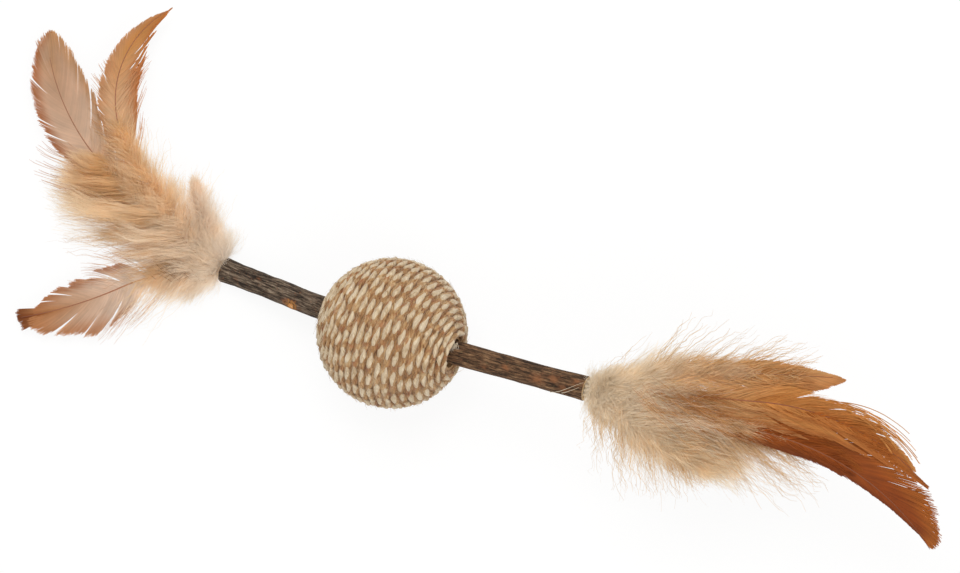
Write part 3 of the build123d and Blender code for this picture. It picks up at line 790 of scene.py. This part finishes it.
def layOnFloor(mesh):
    # nothing sinks below the floor that the toy lies on
    places = np.empty(len(mesh.vertices) * 3, np.float32)
    mesh.vertices.foreach_get("co", places)
    places[2::3] = np.maximum(places[2::3], floorGap * mm)
    mesh.vertices.foreach_set("co", places)
    mesh.update()


# Twig and ball stand in a frame of their own: X along the bore, leaning with the right end up
stickSet = {
    "diameter": 6.2, "leftLength": 51.3, "rightLength": 55.6, "bend": 5.9, "bendReach": 15.0, "bow": 0.65,
    "tilt": 18.81, "socketWall": 0.7, "socketShown": 3.0, "rings": 520, "sides": 84,
    # the left end swells by the flare, the right end by a share of it
    "endFlare": 0.28, "rightFlare": 0.45, "flareReach": 7.0,
    # sawn ends: chamfers of the socket and of the bark, inwards and across, and the rim of bare wood
    "socketChamfer": (0.05, 0.08), "barkChamfer": (0.02, 0.12), "chamferBark": 0.2,
    "chamferRidge": 0.5, "rim": 0.3, "barkStart": 0.1,
    "barkWall": 0.5,                   # rings further than this outside the socket carry bark
}
lean = Matrix.Translation(ballCentre) @ Matrix.Rotation(-math.radians(stickSet["tilt"]), 4, "Y")

# patterns of the bark in millimetres: width, length, depth and where in the noise each starts
barkSet = {
    "ridge": (1.3, 9.0, 0.17, 0), "fine": (0.45, 4.0, 0.06, 7), "lump": (6.0, 11.0, 0.16, 3),
    "crack": (1.1, 2.4, 0.22, 15), "crackFrom": 0.25,
    "roughness": (0.8, 2.0, 3),        # how the ridges break up into finer ones
    "plainRidge": 0.75, "leftRidge": 0.45,    # depth of the ridges, and what the left part has more
    "sideFade": 20.0,                  # length over which the left bark changes into the right bark
    "fullHeight": 0.22,                # height that the material takes as one
    "heightShade": 0.22,               # painted light and shade: how much the height brightens ridges
    "leftStops": [(0.1, "#1A130E"), (0.35, "#3A2E24"), (0.6, "#5F5042"), (0.85, "#857462"), (1.0, "#A08E78")],
    "rightStops": [(0.1, "#1E130B"), (0.35, "#432F1E"), (0.6, "#624731"), (0.85, "#866648"),
                   (1.0, "#A2805E")],
    "rustStops": [(0.2, "#6E452C"), (0.5, "#96603C"), (0.7, "#5C3A1E"), (0.8, "#96683A"), (0.9, "#BE8248"),
                  (1.0, "#D8A878")],
}


def barkMaterial():
    # thin dry bark: broken lengthwise ridges, grey-brown over dark cracks deepened by painted shade, rusty
    # where rubbed
    return newMaterial("Silvervine bark", {
        "bark": attribute("bark"),
        "parts": split("@bark.Vector"),
        "grain": attribute("grain"),   # place on the straightened twig in mm
        # ridges about 0.5 mm wide and 4 mm long, and fibres about 0.25 mm wide and 1 mm long
        "ridgePlace": ("ShaderNodeMapping", {},
                       {"Vector": "@grain.Vector", "Scale": (1 / 0.5, 1 / 0.5, 1 / 4.2)}),
        "ridge": cloudy("@ridgePlace", 1.0, 3.0, 0.6),
        "fibrePlace": ("ShaderNodeMapping", {},
                       {"Vector": "@grain.Vector", "Scale": (1 / 0.25, 1 / 0.25, 1 / 1.0)}),
        "fibre": cloudy("@fibrePlace", 1.0, 3.0, 0.65),
        "ridgeTone": mapped("@ridge", old=(0.36, 0.62), new=(0.0, 0.55)),
        "fibreTone": mapped("@fibre", old=(0.3, 0.7), new=(0.0, 0.4)),
        "both": plus("@ridgeTone", "@fibreTone"),
        # painted shade and light: the bump's noise and the twig's own height darken the furrows and brighten
        # the ridges
        "shade": timesPlus("@parts.X", barkSet["heightShade"], "@both"),
        "leftTone": ramp("@shade", barkSet["leftStops"]),
        "rightTone": ramp("@shade", barkSet["rightStops"]),
        "bare": blended("RGBA", "@parts.Z", "@leftTone.Color", "@rightTone.Color"),
        # flecks of under-bark and lichen, about half a millimetre across
        "fleck": cloudy("@grain.Vector", 1 / 0.8, 3.0, 0.7),
        "fleckShare": mapped("@fleck", old=(0.6, 0.68), new=(0.0, 0.5)),
        "lichenShare": mapped("@fleck", old=(0.36, 0.3), new=(0.0, 0.4)),
        "flecked": blended("RGBA", "@fleckShare", "@bare", hexColour("#85553A")),
        "lichened": blended("RGBA", "@lichenShare", "@flecked", hexColour("#6F6A48")),
        "rustTone": ramp("@parts.Y", barkSet["rustStops"]),
        "rustShare": mapped("@parts.Y", old=(0.0, 0.8)),
        "rust": blended("RGBA", "@rustShare", "@lichened", "@rustTone.Color"),
        "bump": ("ShaderNodeBump", {}, {"Strength": 0.8, "Distance": 0.3 * mm, "Height": "@both"}),
        "surface": ("ShaderNodeBsdfPrincipled", {},
                    {"Base Color": "@rust", "Roughness": 0.85, "Normal": "@bump",
                     "Specular IOR Level": 0.25}),
    })


def grainyMaterial(name, size, detail, dark, light, finish):
    # two tones that change place within the given millimetres
    return newMaterial(name, {
        "object": ("ShaderNodeTexCoord", {}, {}),
        "grain": cloudy("@object.Object", 1 / (size * mm), detail),
        "tone": blended("RGBA", "@grain", hexColour(dark), hexColour(light)),
        "surface": ("ShaderNodeBsdfPrincipled", {}, {"Base Color": "@tone", **finish}),
    })


# rusty places: millimetres along the twig from the ball's middle, degrees round it from the top
# (towards the back), reach in millimetres and strength
rustPlaces = [
    (-28.6, -48, 1.8, 0.6), (-30.6, -40, 0.9, 0.8), (-40.0, 25, 0.6, 0.4), (34.0, -5, 1.0, 0.55),
    (43.0, -20, 1.7, 0.5), (47.5, 5, 1.3, 0.45), (50.5, -30, 1.4, 0.4), (53.5, 20, 1.2, 0.55),
    (28.0, -30, 0.8, 0.4), (-46.0, -20, 0.6, 0.3)]
# how much longer than wide they are, how far they are solid and how ragged their edge is, with its grain
rustSet = {"squeeze": 0.7, "solid": 1.25, "ragged": 0.6, "grain": (0.9, 0.5)}
# a leaf scar: place, reach, how far it stands out, its rim and pit, its uneven edge, and its rings with
# their outer edge and their place on the rust ramp
knotSet = {
    "place": (-28.6, -48), "reach": 1.8, "stands": 0.6, "rimFall": 1.3, "pit": 0.9, "pitFall": 7,
    "uneven": 0.5, "grain": (0.8, 0.6), "seed": 4,
    "tones": [(0.16, 1.0), (0.48, 0.9), (0.64, 0.7), (0.95, 0.8)],
}


def stickSpine(x):
    # sideways offset and slope of the crooked line at a distance along the bore, in millimetres
    slope = math.sin(math.radians(stickSet["bend"] / 2))
    reach = stickSet["bendReach"]
    if abs(x) < reach:
        return -stickSet["bow"] + slope * (x * x + reach * reach) / (2 * reach), slope * x / reach
    return -stickSet["bow"] + slope * abs(x), math.copysign(slope, x)


def twigPoint(x, angle, out):
    # a place at a distance from the twig's crooked line, on the leaning toy in metres
    offset, slope = stickSpine(x)
    acrossWay = Vector((-slope, 1, 0)).normalized()
    point = Vector((x, offset, math.sin(angle) * out)) + acrossWay * (math.cos(angle) * out)
    return lean @ (point * mm)


def rightShare(x):
    return min(1, max(0, 0.5 + x / barkSet["sideFade"]))


def barkPlace(x, angle, kind):
    # where a pattern's noise is read for a place on the bark
    width, length, _, start = barkSet[kind]
    radius = stickSet["diameter"] / 2
    return math.cos(angle) * radius / width, math.sin(angle) * radius / width, start + x / length


def barkHeight(x, angle):
    # ridges, furrows and cracks of the bark, and its lumps, in millimetres
    depth = {kind: barkSet[kind][2] for kind in ("ridge", "fine", "lump", "crack")}
    left = rightShare(-x)
    ridge = noise.fractal(barkPlace(x, angle, "ridge"), *barkSet["roughness"])
    fine = noise.noise(barkPlace(x, angle, "fine"))
    lump = noise.noise(barkPlace(x, angle, "lump"))
    crack = noise.noise(barkPlace(x, angle, "crack"))
    deeper = barkSet["plainRidge"] + barkSet["leftRidge"] * left
    height = ridge * depth["ridge"] * deeper + fine * depth["fine"]
    height += min(0, crack + barkSet["crackFrom"]) * depth["crack"] * left
    return height, lump * depth["lump"]


def arcFrom(angle, turn):
    # millimetres round the twig from a place that is given in degrees from the top
    arc = (angle - math.pi / 2 + math.radians(turn) + math.pi) % (2 * math.pi) - math.pi
    return arc * (stickSet["diameter"] / 2)


def rustHeight(x, angle):
    # place on the rust ramp, and how far the leaf scar stands out
    rust = 0.0
    long, wide = rustSet["grain"]
    for place, turn, reach, strength in rustPlaces:
        arc = arcFrom(angle, turn)
        gap = math.hypot((x - place) * rustSet["squeeze"], arc)
        ragged = rustSet["ragged"] * noise.noise((x / long, arc / wide, place))
        rust = max(rust, strength * min(1, max(0, rustSet["solid"] - gap / reach + ragged)))
    place, turn = knotSet["place"]
    long, wide = knotSet["grain"]
    stands = knotSet["stands"]
    arc = arcFrom(angle, turn)
    gap = math.hypot(x - place, arc) / knotSet["reach"]
    knot = stands * math.exp(-gap * gap * knotSet["rimFall"])
    knot -= stands * knotSet["pit"] * math.exp(-gap * gap * knotSet["pitFall"])
    uneven = gap * (1 + knotSet["uneven"] * noise.noise((x / long, arc / wide, knotSet["seed"])))
    rings = [tone for edge, tone in knotSet["tones"] if uneven < edge]
    return rings[0] if rings else rust, knot


def stickProfile():
    # rings from the left socket, out over the bark and into the right socket: x, radius, bark share
    radius = stickSet["diameter"] / 2
    socket = radius - stickSet["socketWall"]
    left, right = -stickSet["leftLength"], stickSet["rightLength"]
    deep, start, rings = stickSet["socketShown"], stickSet["barkStart"], stickSet["rings"]
    socketIn, socketOut = stickSet["socketChamfer"]
    barkIn, barkOut = stickSet["barkChamfer"]
    sawn = [(deep, 0.0, 0), (deep, socket, 0), (socketIn, socket, 0), (0, socket + socketOut, 0),
            (0, radius - stickSet["rim"], 0), (barkIn, radius - barkOut, stickSet["chamferBark"])]
    profile = [(left + inwards, ring, share) for inwards, ring, share in sawn]
    for k in range(rings + 1):
        profile.append((left + start + (right - left - 2 * start) * k / rings, radius, 1))
    return profile + [(right - inwards, ring, share) for inwards, ring, share in reversed(sawn)]


def makeStick():
    radius = stickSet["diameter"] / 2
    barkFrom = radius - stickSet["socketWall"] + stickSet["barkWall"]
    left, right = -stickSet["leftLength"], stickSet["rightLength"]
    profile = stickProfile()
    sides = stickSet["sides"]
    vertices, bark, grain = [], [], []
    for x, ringRadius, share in profile:
        leftNear = max(0, 1 - (x - left) / stickSet["flareReach"])
        rightNear = max(0, 1 - (right - x) / stickSet["flareReach"])
        flare = stickSet["endFlare"] * leftNear ** 2
        flare += stickSet["rightFlare"] * stickSet["endFlare"] * rightNear ** 2
        for n in range(sides):
            angle = 2 * math.pi * n / sides    # from +Y over the top
            height, lump = barkHeight(x, angle) if ringRadius > 0 else (0, 0)
            rust, knot = rustHeight(x, angle)
            total = ringRadius
            if share == 1:
                total = ringRadius + (height + lump + flare + knot)
            elif ringRadius > barkFrom:
                total = ringRadius + lump + flare + stickSet["chamferRidge"] * height
            vertices.append(twigPoint(x, angle, total))
            bark.append((height / barkSet["fullHeight"], rust if share == 1 else 0, rightShare(x)))
            grain.append((math.cos(angle) * radius, math.sin(angle) * radius, x))
    faces, cut = [], []
    rows = len(profile)
    barkRows = [k for k, p in enumerate(profile) if p[2] > 0]
    for k in range(rows - 1):
        for n in range(sides):
            a, b = k * sides + n, k * sides + (n + 1) % sides
            face = (a, a + sides, b + sides, b)
            if k == 0:
                face = (a, a + sides, b + sides)
            elif k == rows - 2:
                face = (a, a + sides, b)
            faces.append(face)
            cut.append(0 if barkRows[0] <= k < barkRows[-1] else 1)
    mesh = bpy.data.meshes.new("barked_stick")
    mesh.from_pydata(vertices, [], faces)
    for name, values in (("bark", bark), ("grain", grain)):
        data = mesh.attributes.new(name, "FLOAT_VECTOR", "POINT").data
        data.foreach_set("vector", np.array(values, np.float32).ravel())
    mesh.materials.append(barkMaterial())
    # sawn end of a twig: pale gritty wood
    mesh.materials.append(grainyMaterial(
        "Sawn silvervine end grain", 0.5, 4.0, "#C9A878", "#E6CDA4", {"Roughness": 0.8}))
    mesh.polygons.foreach_set("material_index", cut)
    mesh.polygons.foreach_set("use_smooth", [True] * len(faces))
    mesh.validate()
    layOnFloor(mesh)
    stick = addPiece("barked_stick", mesh)
    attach(stick, stickBody)
    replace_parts(stick, "stick")
    print("stick", len(faces), "faces")


makeStick()

# pale strands of down that stick to the bark beside the right end: how far they stand off the bark, and
# millimetres along and degrees from the top at both of their ends
threadSet = {"radius": 0.09, "tipRadius": 0.05, "sides": 6, "steps": 24, "stand": 0.16,
             "lines": [((46.5, -86), (55.4, 24)), ((50.0, -60), (54.6, -4))]}


def makeThreads(spec):
    threadHorn = hornMaterial("Feather barb, bleached", [(0.0, "#D2C2AA"), (1.0, "#BCA486")])
    for count, (start, end) in enumerate(spec["lines"]):
        points = []
        for k in range(spec["steps"] + 1):
            share = k / spec["steps"]
            x = start[0] + (end[0] - start[0]) * share
            angle = math.pi / 2 - math.radians(start[1] + (end[1] - start[1]) * share)
            out = stickSet["diameter"] / 2 + sum(barkHeight(x, angle)) + spec["stand"]
            points.append(twigPoint(x, angle, out))
        thread = growPiece("bark_thread_" + str(count + 1), points, rodTree, {
            "Root radius": spec["radius"] * mm, "Tip radius": spec["tipRadius"] * mm, "Sides": spec["sides"],
            "Material": threadHorn})
        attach(thread, stickBody)


makeThreads(threadSet)

# Twine: three plies twisted together, one of them bleached, wound from hole to hole
fibrePlain = {
    "From": 0.0, "To": 1.0, "Jitter": 2.0, "Base": 1.0, "Fullness": 60.0, "Edge": 0.1, "Spread": 180,
    "Ragged": 0.4, "Group swing": 0, "Group length": 0.0, "Wave scale": 400.0, "Own wave": 3.0, "Twist": 180,
}
twineSet = {
    "turns": 24, "outer": 20.0, "thickness": 2.36, "boreRadius": 4.0, "rimGap": 0.2, "tubeRadius": 0.8,
    "lay": 5.9,                        # length of one full twist of the plies
    "points": 6000, "sides": 8, "lumpy": 0.4, "wobble": 0.3, "linePoints": 2400, "rawStain": 0.5,
    "bleachedStain": 0.1,
    # how far each ply swings out and sideways from the twine's own line, and its own radius;
    # the bleached ply is pinched, so its first value is how far its top stands out
    "rawPly": (0.36, 0.36, 0.70), "bleachedPly": (1.2, 0.15, 0.82), "underPly": (0.0, 0.0, 0.60),
    "underDepth": 0.25,
    # the dark ends of these ramps paint the shade where the fibres part
    "rawStops": [(0.36, "#684628"), (0.44, "#946C44"), (0.52, "#AE885C"), (0.62, "#CCB28A")],
    "bleachedStops": [(0.35, "#967A56"), (0.44, "#BEA684"), (0.53, "#D0BD9E"), (0.64, "#E0D0B6")],
    "fibreLook": featherLook(
        "#C89E6C", "#E0CDAE", 0.2, 0.8, (0.45, 1.25), 0.3, [(0.0, "#B88C5C"), (1.0, "#A67848")]),
    "fibres": {**fibrePlain, "Barbs": 10000, "Segments": 5, "Reach": (4.2, 4.2), "Root angle": 20,
               "Tip angle": 20, "Angle jitter": 8, "Curl": 22, "Wave": 0.9, "Width": 0.12,
               "Root spread": 0.55, "Seed": 7},
    # the cut end of the twine at the right hole, in the frame of the bore
    "endLine": ((19.4, 2.9, 4.6), (18.6, 1.4, 3.0)),
    "endFibres": {**fibrePlain, "Barbs": 70, "Segments": 6, "Reach": (2.6, 2.6), "Root angle": 24,
                  "Tip angle": 24, "Angle jitter": 14, "Curl": 4, "Wave": 0.8, "Width": 0.14,
                  "Root spread": 0.35, "Seed": 8},
    "endLook": featherLook(
        "#F0E8DA", "#E8DCC6", 0.2, 0.8, (0.85, 1.1), 0.3, [(0.0, "#E4D6BC"), (1.0, "#F0E8DA")]),
}
plySockets = {
    **dict.fromkeys(("Points", "Sides"), "Int"),
    **dict.fromkeys((
        "Radius", "First", "Spread", "Turns", "Start", "Length", "Lay", "Phase", "Offset", "Side offset",
        "Pinch", "Wobble", "Ply radius", "Lumpy"), "Float"),
}
plySteps = {
    "line": ("GeometryNodeMeshToCurve", {}, {"Mesh": "@in.Geometry"}),
    "fineLine": ("GeometryNodeResampleCurve", {"mode": "COUNT"}, {"Curve": "@line", "Count": "@in.Points"}),
    "at": ("GeometryNodeSplineParameter", {}, {}),
    # even steps along the twine: the cosine of the polar angle falls evenly
    "firstCosine": maths("COSINE", "@in.First"),
    "fall": timesPlus("@at.Factor", -2.0, 1.0),
    "cosine": times("@firstCosine", "@fall"),
    "polar": maths("ARCCOSINE", "@cosine"),
    "sine": maths("SINE", "@polar"),
    "past": minus("@polar", "@in.First"),
    "pastShare": maths("DIVIDE", "@past", "@in.Spread"),
    "turned": times("@pastShare", "@in.Turns"),
    "around": timesPlus("@turned", 2 * math.pi, "@in.Start"),
    "aroundCosine": maths("COSINE", "@around"),
    "aroundSine": maths("SINE", "@around"),
    "outY": times("@sine", "@aroundCosine"),
    "outZ": times("@sine", "@aroundSine"),
    "out": joined(X="@cosine", Y="@outY", Z="@outZ"),
    # sideways on the ball, from one pole to the other
    "minusSine": times("@sine", -1.0),
    "sideY": times("@cosine", "@aroundCosine"),
    "sideZ": times("@cosine", "@aroundSine"),
    "side": joined(X="@minusSine", Y="@sideY", Z="@sideZ"),
    # the ply goes round the twine's own line once in each lay
    "laid": times("@at.Factor", "@in.Length"),
    "lays": maths("DIVIDE", "@laid", "@in.Lay"),
    "wander": lineNoise("@lays", 0.35, 2.0),
    "uneven": timesPlus("@wander", 0.9, "@lays"),
    "twist": timesPlus("@uneven", 2 * math.pi, "@in.Phase"),
    "twistCosine": maths("COSINE", "@twist"),
    "twistSine": maths("SINE", "@twist"),
    # a pinched ply swells where it lies on top and is thin where it dives under the others
    "swellShare": mapped("@twistCosine", old=(-1.0, 1.0), new=(0.12, 1.0)),
    "swell": maths("POWER", "@swellShare", 1.15),
    "swellHere": mapped("@in.Pinch", new=(1.0, "@swell")),
    "float": mapped("@twistCosine", old=(-0.95, -0.5), smooth=True),
    "floatHere": mapped("@in.Pinch", new=("@twistCosine", "@float")),
    "sink": times("@swell", "@in.Ply radius"),
    "sinkHere": times("@sink", "@in.Pinch"),
    "offsetHere": minus("@in.Offset", "@sinkHere"),
    "proud": timesPlus("@floatHere", "@offsetHere", "@in.Radius"),
    "wobble": lineNoise("@lays", 0.5, 2.0),
    "wobbleSigned": minus("@wobble", 0.5),
    "wobbleStep": times("@wobbleSigned", "@in.Wobble"),
    "beside": timesPlus("@twistSine", "@in.Side offset", "@wobbleStep"),
    "outStep": scaled("@out", "@proud"),
    "sideStep": scaled("@side", "@beside"),
    "ply": vectorMaths("ADD", "@outStep", "@sideStep"),
    "marks": joined(X="@laid"),
    "marked": stored("@fineLine", "ply", "@marks"),
    "wound": ("GeometryNodeSetPosition", {}, {"Geometry": "@marked", "Position": "@ply"}),
    # thick and thin places of a spun yarn
    "slub": lineNoise("@lays", 1.7, 3.0),
    "slubSigned": minus("@slub", 0.5),
    "slubShare": timesPlus("@slubSigned", "@in.Lumpy", 1.0),
    "evenThick": times("@slubShare", "@in.Ply radius"),
    "thick": times("@evenThick", "@swellHere"),
    "ring": ("GeometryNodeCurvePrimitiveCircle", {}, {"Resolution": "@in.Sides", "Radius": 1.0}),
    "ringAt": ("GeometryNodeSplineParameter", {}, {}),
    "ringMarked": stored("@ring", "around", "@ringAt.Factor", "FLOAT"),
    "shape": ("GeometryNodeCurveToMesh", {},
              {"Curve": "@wound", "Profile Curve": "@ringMarked", "Scale": "@thick", "Fill Caps": True}),
}


def yarnMaterial(name, stops, stainMost):
    # spun bast fibre: dull, with fibres slanting round the yarn, and painted shade where they part
    return newMaterial(name, {
        "ply": attribute("ply"),
        "length": split("@ply.Vector"),
        "round": attribute("around"),
        # fibres go once round the yarn in 6 mm; each shows about 0.2 mm wide and 2 mm long
        "turned": timesPlus("@length.X", 1 / (6 * mm), "@round.Fac"),
        "angle": times("@turned", 2 * math.pi),
        "cosine": maths("COSINE", "@angle"),
        "sine": maths("SINE", "@angle"),
        "drawn": times("@length.X", 0.6 / (2 * mm)),
        "place": joined(X="@cosine", Y="@sine", Z="@drawn"),
        "fibre": cloudy("@place", 1.4, 4.0, 0.72),
        "object": ("ShaderNodeTexCoord", {}, {}),
        "batch": cloudy("@object.Object", 1 / (3 * mm), 2.0),
        "mixed": blended("FLOAT", 0.35, "@fibre", "@batch"),
        # the fibres' own tones, with painted shade where the fibre bump is low
        "tone": ramp("@mixed", stops),
        # rusty stains a millimetre or two across
        "stain": cloudy("@object.Object", 1 / (1.8 * mm), 3.0),
        "stainShare": mapped("@stain", old=(0.52, 0.66), new=(0.0, stainMost)),
        "stained": blended("RGBA", "@stainShare", "@tone.Color", hexColour("#985C3A")),
        "bump": ("ShaderNodeBump", {}, {"Strength": 0.9, "Distance": 0.25 * mm, "Height": "@fibre"}),
        "surface": ("ShaderNodeBsdfPrincipled", {},
                    {"Base Color": "@stained", "Roughness": 0.85, "Sheen Weight": 0.2, "Normal": "@bump",
                     "Specular IOR Level": 0.25}),
    })


def makeTwine(spec):
    centre = spec["outer"] - spec["thickness"] / 2
    first = math.asin((spec["boreRadius"] + spec["rimGap"] + spec["tubeRadius"]) / centre)
    spread = math.pi - 2 * first
    length = 2 * math.pi * spec["turns"] * centre / spread * 2 * math.cos(first)
    lowest = math.pi / 2 + math.radians(stickSet["tilt"])
    start = -math.pi / 2 - 2 * math.pi * spec["turns"] * (lowest - first) / spread
    tree = newTree("twistedPly", plySockets, plySteps)
    raw = yarnMaterial("Raw jute yarn", spec["rawStops"], spec["rawStain"])
    bleached = yarnMaterial("Bleached jute yarn", spec["bleachedStops"], spec["bleachedStain"])
    # name, swing and radius, third of a twist, pinch, half turns aside, depth, finish
    plies = [
        ("first_raw_ply", spec["rawPly"], 0, 0.0, 0, 0.0, raw),
        ("second_raw_ply", spec["rawPly"], 1, 0.0, 0, 0.0, raw),
        ("bleached_ply", spec["bleachedPly"], 2, 1.0, 0, 0.0, bleached),
        ("under_winding", spec["underPly"], 0, 0.0, 1, spec["underDepth"], raw),
    ]
    pieces = []
    for name, (out, aside, radius), third, pinch, halfTurn, depth, finish in plies:
        pieces.append(growPiece(name, [(0, 0, 0), (1, 0, 0)], tree, {
            "Points": spec["points"] if halfTurn == 0 else spec["points"] // 2, "Sides": spec["sides"],
            "Radius": (centre - depth) * mm, "First": first, "Spread": spread, "Turns": float(spec["turns"]),
            "Start": start + math.pi * halfTurn, "Length": length * mm, "Lay": spec["lay"] * mm,
            "Phase": 2 * math.pi * third / 3, "Offset": out * mm, "Side offset": aside * mm, "Pinch": pinch,
            "Wobble": spec["wobble"] * mm, "Ply radius": radius * mm, "Lumpy": spec["lumpy"],
            "Material": finish}))
        pieces[-1].data.transform(lean)
        layOnFloor(pieces[-1].data)
    # loose fibres grow from the twine's own line
    line = []
    for k in range(spec["linePoints"] + 1):
        polar = math.acos(math.cos(first) * (1 - 2 * k / spec["linePoints"]))
        around = start + 2 * math.pi * spec["turns"] * (polar - first) / spread
        ring = math.sin(polar)
        way = Vector((math.cos(polar), ring * math.cos(around), ring * math.sin(around)))
        line.append(lean @ (way * centre * mm))
    fibre = vaneMaterial("Loose jute fibre", spec["fibreLook"])
    pieces.append(growStrands("twine_fibres", line, fibre, spec["fibres"]))
    endLine = [lean @ (Vector(p) * mm) for p in spec["endLine"]]
    frayed = vaneMaterial("Frayed jute end", spec["endLook"])
    pieces.append(growStrands("twine_end", endLine, frayed, spec["endFibres"]))
    for piece in pieces:
        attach(piece, stickBody)
        print("twine", piece.name, len(piece.data.polygons), "faces")
    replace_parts(pieces[0], "twine_winding")


makeTwine(twineSet)

# Glue round the twig in both holes of the ball, sunk below the twine and uneven
ballGlueSet = {
    "inner": 2.7, "outer": 4.15, "deep": 13.0, "top": 16.4, "uneven": 0.7, "lumps": 2, "lumpStart": 10,
    "sides": 48, "steps": 6,
    "snug": 3,                         # points of the section that follow the crooked twig
}


def makeBallGlue(name, side, spec, finish):
    # a closed ring: up along the twig, across the uneven top and down along the bore
    width, steps, sides = spec["outer"] - spec["inner"], spec["steps"], spec["sides"]
    profile = [(spec["inner"], spec["deep"], 0)]
    profile += [(spec["inner"] + width * k / steps, spec["top"], 1) for k in range(steps + 1)]
    profile += [(spec["outer"], spec["deep"], 0)]
    rows = len(profile)
    vertices, faces = [], []
    for n in range(sides):
        angle = 2 * math.pi * n / sides
        flatWay, upWay = math.cos(angle), math.sin(angle)
        for k, (radius, x, share) in enumerate(profile):
            lumps = (spec["lumps"] * flatWay, spec["lumps"] * upWay, radius + spec["lumpStart"] * side)
            bump = spec["uneven"] * noise.noise(lumps)
            point = Vector((side * (x + share * bump), radius * flatWay, radius * upWay))
            if k < spec["snug"]:
                point += Vector((0, stickSpine(side * x)[0], 0))
            vertices.append(lean @ (point * mm))
        for k in range(rows):
            here, there, after = n * rows, (n + 1) % sides * rows, (k + 1) % rows
            a, b, c, d = here + k, here + after, there + after, there + k
            faces.append((a, d, c, b) if side > 0 else (a, b, c, d))
    mesh = bpy.data.meshes.new(name)
    mesh.from_pydata(vertices, [], faces)
    mesh.materials.append(finish)
    mesh.polygons.foreach_set("use_smooth", [True] * len(faces))
    piece = addPiece(name, mesh)
    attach(piece, stickBody)
    return piece


def dressNodes():
    # set hot-melt glue: cloudy, waxy, a little see-through
    glueFinish = {"Roughness": 0.35, "Subsurface Weight": 0.2}
    glue = grainyMaterial("Set hot-melt glue", 1.5, 3.0, "#B79A72", "#E4D6BC", glueFinish)
    # turned softwood under the twine
    core = grainyMaterial("Turned limewood", 2, 4.0, "#93704A", "#B08A5E", {"Roughness": 0.75})
    for name, side in (("left_ball_glue", -1), ("right_ball_glue", 1)):
        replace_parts(makeBallGlue(name + "_bead", side, ballGlueSet, glue), name)
    # solids that stay as they are get their finish
    for name, node in frame["nodes"].items():
        finish = glue if name.endswith("glue") else hornPale if name.endswith("quill") else core
        if name.endswith(("glue", "quill", "core")):
            node.data.materials.clear()
            node.data.materials.append(finish)


dressNodes()
print("solids dressed")
